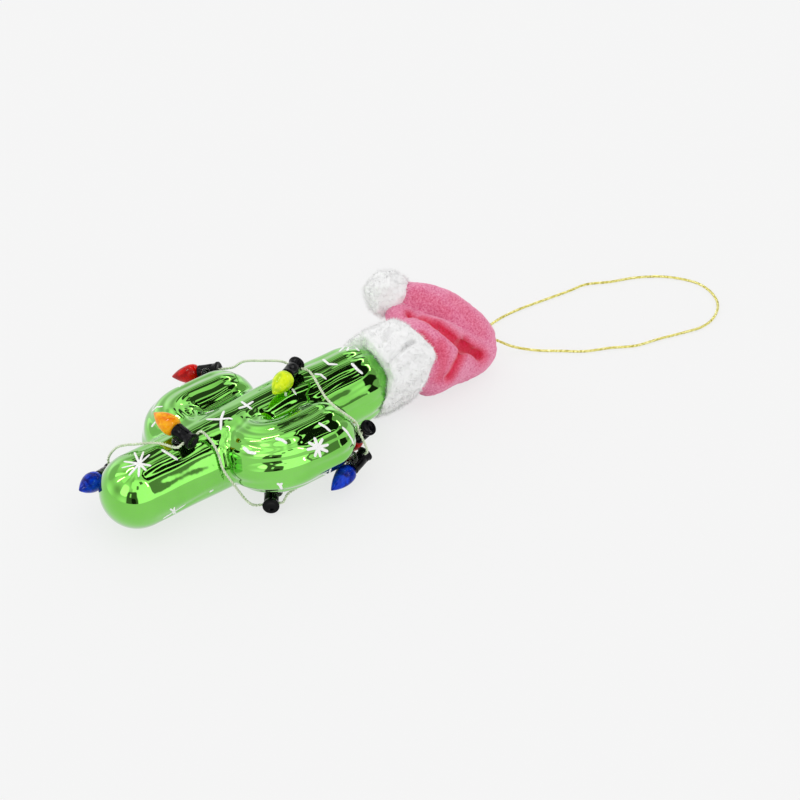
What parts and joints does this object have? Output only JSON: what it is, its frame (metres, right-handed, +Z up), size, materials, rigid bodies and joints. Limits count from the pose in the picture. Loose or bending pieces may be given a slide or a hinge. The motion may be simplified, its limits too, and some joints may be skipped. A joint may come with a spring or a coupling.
{
  "type": "cactus christmas ornament",
  "caption": "Ribbed glass cactus ornament lying on its back, with upturned arms, a felt hat with brim and pompom, a string of small lights and a cord loop for hanging.",
  "frame": {"origin": "middle of the underside of the box round everything but the free hanging cord, as the ornament lies on a table", "axes": "+X from the foot to the hat, +Y to the far arm, +Z up from the table"},
  "size_m": [0.2653, 0.0861, 0.037],
  "materials": {
    "glass": "mirror-bright metallised green blown glass",
    "steel": "bright plated steel",
    "felt": "matte pink felt",
    "fleece": "white long-pile fleece",
    "gold_cord": "twisted metallic gold cord",
    "wire": "pale green insulation, twisted pair",
    "socket": "glossy black",
    "glue": "clear glossy hot glue",
    "bulb_blue": "translucent blue",
    "bulb_orange": "translucent orange",
    "bulb_green": "translucent green",
    "bulb_red": "translucent red",
    "bulb_yellow": "translucent yellow-green"
  },
  "bodies": {
    "root": {"glass_cactus": "glass", "ornament_cap": "steel", "spring_loop": "steel", "hat_cone": "felt", "hat_brim": "fleece", "hat_pompom": "fleece", "hanging_cord": "gold_cord", "cord_strand_a": "gold_cord", "cord_strand_b": "gold_cord", "cord_eye": "gold_cord", "cord_knot": "gold_cord", "light_wire_lower": "wire", "light_wire_upper": "wire", "socket_left": "socket", "bulb_left": "bulb_blue", "glue_left": "glue", "socket_foot": "socket", "bulb_foot": "bulb_orange", "glue_foot": "glue", "socket_elbow": "socket", "bulb_elbow": "bulb_green", "glue_elbow": "glue", "socket_right": "socket", "bulb_right": "bulb_blue", "glue_right": "glue", "socket_tip": "socket", "bulb_tip": "bulb_red", "glue_tip": "glue", "socket_top": "socket", "bulb_top": "bulb_yellow", "glue_top": "glue", "socket_far": "socket", "bulb_far": "bulb_red", "glue_far": "glue"}
  },
  "joints": []
}
